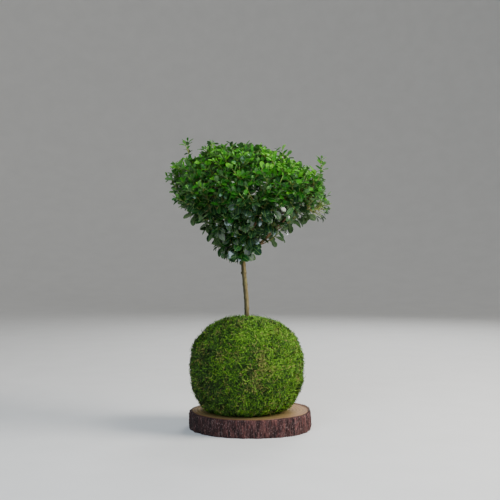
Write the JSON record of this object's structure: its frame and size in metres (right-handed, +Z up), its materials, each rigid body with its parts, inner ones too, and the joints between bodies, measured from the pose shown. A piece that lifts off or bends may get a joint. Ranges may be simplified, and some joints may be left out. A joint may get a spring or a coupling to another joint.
{
  "type": "kokedama moss ball plant",
  "caption": "Small umbrella-shaped evergreen on a thin trunk, growing out of a round moss ball that rests on a thin slice of log with its bark.",
  "frame": {"origin": "middle of the flat underside of the slice of log", "axes": "+Z up along the trunk, +X to the right as seen from the front, +Y away from the front"},
  "size_m": [0.1786, 0.1692, 0.3184],
  "materials": {
    "wood": "satin",
    "bark": "matte",
    "moss": "matte",
    "soil": "matte",
    "branch_wood": "matte",
    "leaf": "satin"
  },
  "bodies": {
    "root": {"slice_wood": "wood", "slice_bark": "bark", "moss_cover": "moss", "soil_ball": "soil", "trunk_and_branches": "branch_wood", "spray_01": "leaf", "spray_02": "leaf", "spray_03": "leaf", "spray_04": "leaf", "spray_05": "leaf", "spray_06": "leaf", "spray_07": "leaf", "spray_08": "leaf", "spray_09": "leaf", "spray_10": "leaf", "spray_11": "leaf", "spray_12": "leaf", "spray_13": "leaf", "spray_14": "leaf", "spray_15": "leaf", "spray_16": "leaf", "spray_17": "leaf", "spray_18": "leaf", "spray_19": "leaf", "spray_20": "leaf", "spray_21": "leaf", "spray_22": "leaf", "spray_23": "leaf", "spray_24": "leaf", "spray_25": "leaf", "spray_26": "leaf", "spray_27": "leaf", "spray_28": "leaf", "spray_29": "leaf", "spray_30": "leaf", "spray_31": "leaf", "spray_32": "leaf", "spray_33": "leaf", "spray_34": "leaf", "spray_35": "leaf", "spray_36": "leaf", "spray_37": "leaf", "spray_38": "leaf", "spray_39": "leaf", "spray_40": "leaf", "spray_41": "leaf"}
  },
  "joints": []
}
